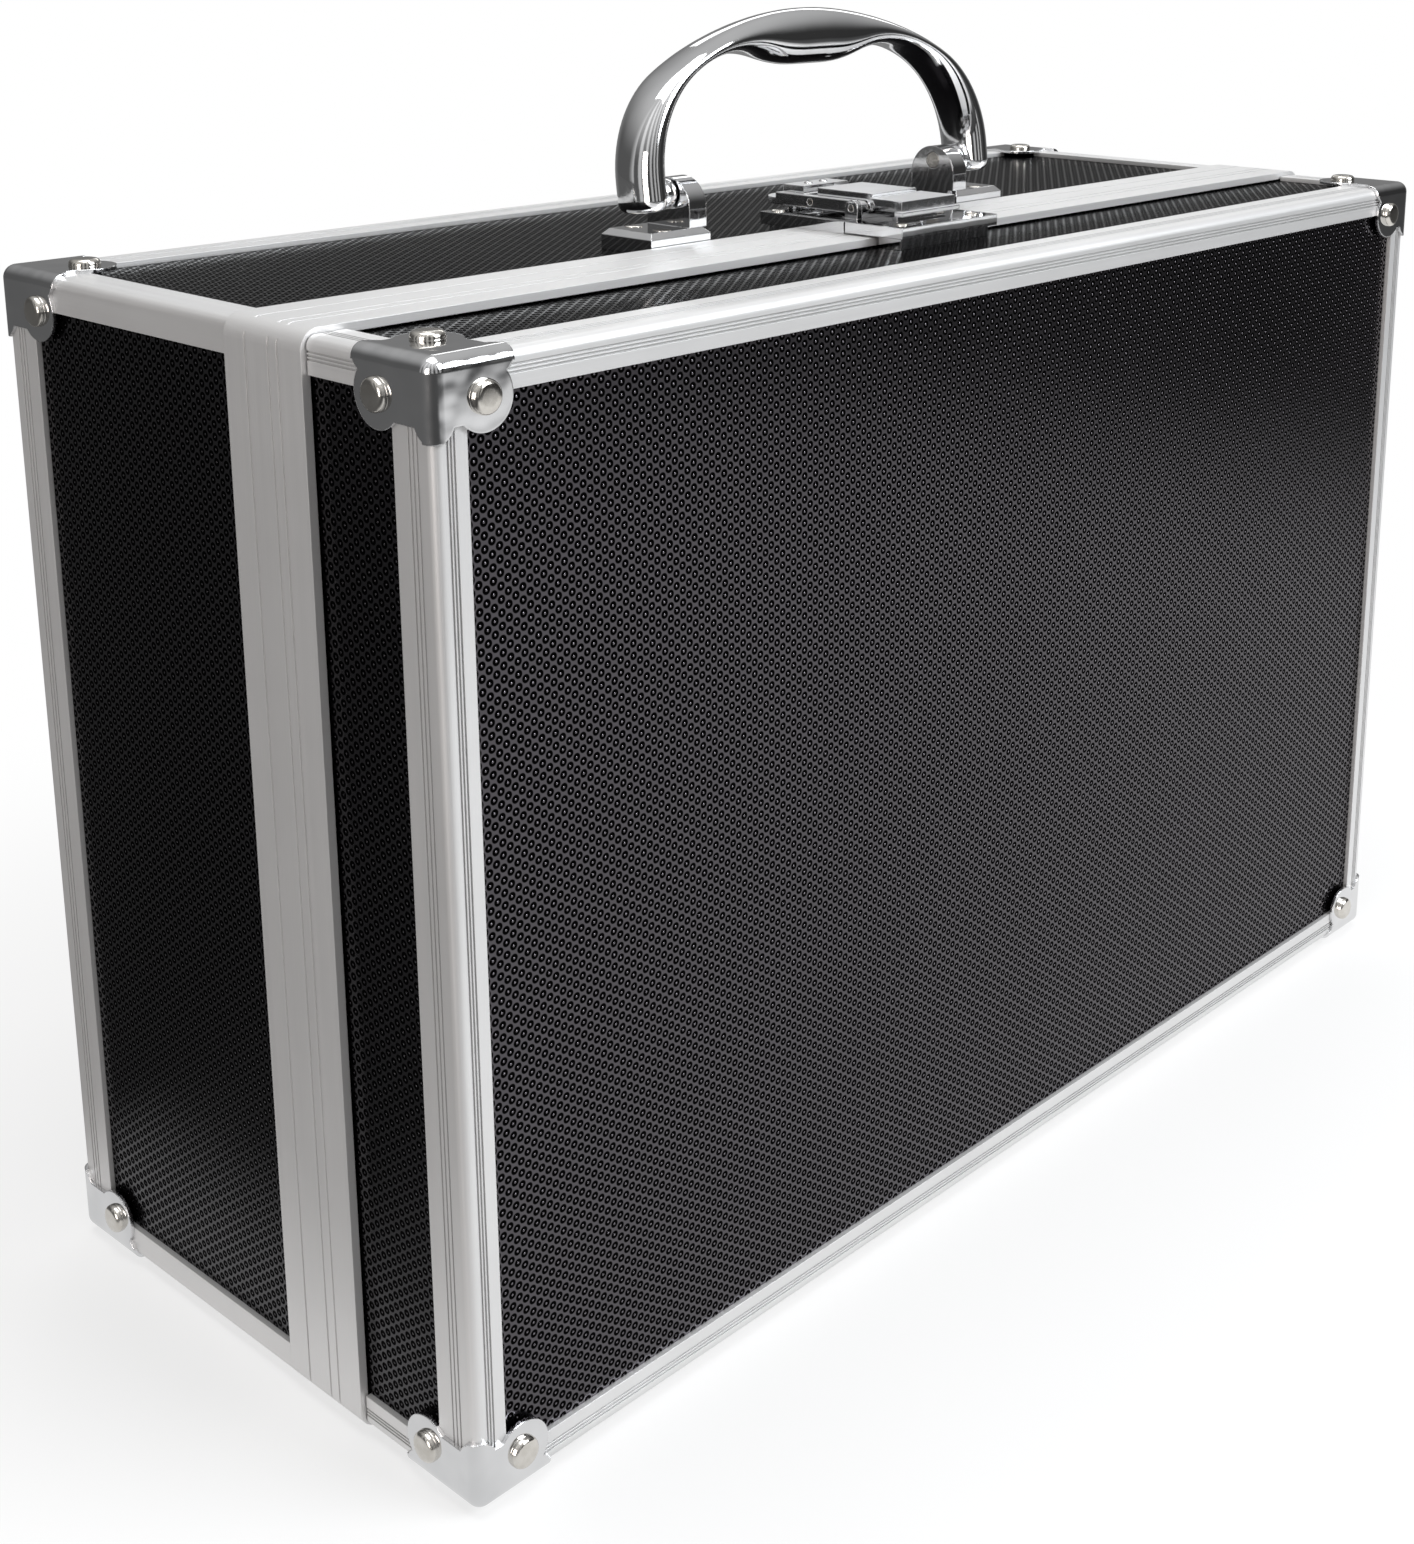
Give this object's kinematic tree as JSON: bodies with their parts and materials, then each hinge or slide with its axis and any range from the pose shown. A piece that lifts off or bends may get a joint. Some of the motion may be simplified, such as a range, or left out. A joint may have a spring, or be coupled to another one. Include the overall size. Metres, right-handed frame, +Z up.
{
  "type": "aluminium case",
  "caption": "Small aluminium-framed carry case with black embossed panels, chrome corners, an arched folding handle, a draw latch and a hinged lid.",
  "frame": {"origin": "centre of the footprint, on the plane that the bottom rivet heads stand on", "axes": "+X along the width, +Y towards the back of the base with the lid facing -Y, +Z up towards the handle"},
  "size_m": [0.3396, 0.1436, 0.2723],
  "materials": {
    "black_panel": "black embossed dots, gloss",
    "dark_lining": "dark soft lining",
    "anodised_aluminium": "satin anodised, fine grooves",
    "chrome": "bright chrome plate",
    "nickel": "nickel plate",
    "plated_steel": "bright zinc plate"
  },
  "bodies": {
    "base": {"base_back_bottom_profile": "anodised_aluminium", "base_back_left_profile": "anodised_aluminium", "base_back_panel": "black_panel", "base_back_right_profile": "anodised_aluminium", "base_back_top_profile": "anodised_aluminium", "base_bottom_panel": "black_panel", "base_closing_frame": "anodised_aluminium", "base_corner_rivets": "nickel", "base_depth_profile_bottom_left": "anodised_aluminium", "base_depth_profile_bottom_right": "anodised_aluminium", "base_depth_profile_top_left": "anodised_aluminium", "base_depth_profile_top_right": "anodised_aluminium", "base_hinge_leaves": "plated_steel", "base_hinge_rivets": "nickel", "base_left_panel": "black_panel", "base_lining": "dark_lining", "base_protector_bottom_left": "chrome", "base_protector_bottom_right": "chrome", "base_protector_top_left": "chrome", "base_protector_top_right": "chrome", "base_right_panel": "black_panel", "base_top_panel": "black_panel", "handle_bracket_left": "chrome", "handle_bracket_right": "chrome", "handle_bracket_rivets": "nickel", "handle_pivot_pins": "nickel", "hinge_pins": "nickel", "latch_base_plate": "chrome", "latch_base_rivets": "nickel", "latch_pivot_pins": "nickel"},
    "lid": {"latch_striker": "chrome", "latch_striker_rivets": "nickel", "lid_bottom_panel": "black_panel", "lid_closing_frame": "anodised_aluminium", "lid_corner_rivets": "nickel", "lid_depth_profile_bottom_left": "anodised_aluminium", "lid_depth_profile_bottom_right": "anodised_aluminium", "lid_depth_profile_top_left": "anodised_aluminium", "lid_depth_profile_top_right": "anodised_aluminium", "lid_front_bottom_profile": "anodised_aluminium", "lid_front_left_profile": "anodised_aluminium", "lid_front_panel": "black_panel", "lid_front_right_profile": "anodised_aluminium", "lid_front_top_profile": "anodised_aluminium", "lid_hinge_leaves": "plated_steel", "lid_hinge_rivets": "nickel", "lid_left_panel": "black_panel", "lid_lining": "dark_lining", "lid_protector_bottom_left": "chrome", "lid_protector_bottom_right": "chrome", "lid_protector_top_left": "chrome", "lid_protector_top_right": "chrome", "lid_right_panel": "black_panel", "lid_top_panel": "black_panel"},
    "handle": {"handle": "chrome"},
    "latch_lever": {"latch_lever": "chrome", "latch_hook_pin": "nickel"},
    "latch_hook": {"latch_hook": "chrome"}
  },
  "joints": [
    {"name": "lid_hinge", "type": "hinge", "parent": "base", "child": "lid", "pos_m": [0, -0.0365, 0.00175], "axis": [1, 0, 0], "range_deg": [0, 100]},
    {"name": "handle_pivot", "type": "hinge", "parent": "base", "child": "handle", "pos_m": [0, -0.0024, 0.233], "axis": [1, 0, 0], "range_deg": [-83, 17]},
    {"name": "latch_lever_pivot", "type": "hinge", "parent": "base", "child": "latch_lever", "pos_m": [0, -0.0244, 0.2281], "axis": [1, 0, 0], "range_deg": [0, 100]},
    {"name": "latch_hook_pivot", "type": "hinge", "parent": "latch_lever", "child": "latch_hook", "pos_m": [0, -0.0099, 0.2281], "axis": [1, 0, 0], "range_deg": [-100, 0]}
  ],
  "couplings": [
    {"joint": "latch_hook_pivot", "follows": "latch_lever_pivot", "ratio": -1}
  ]
}
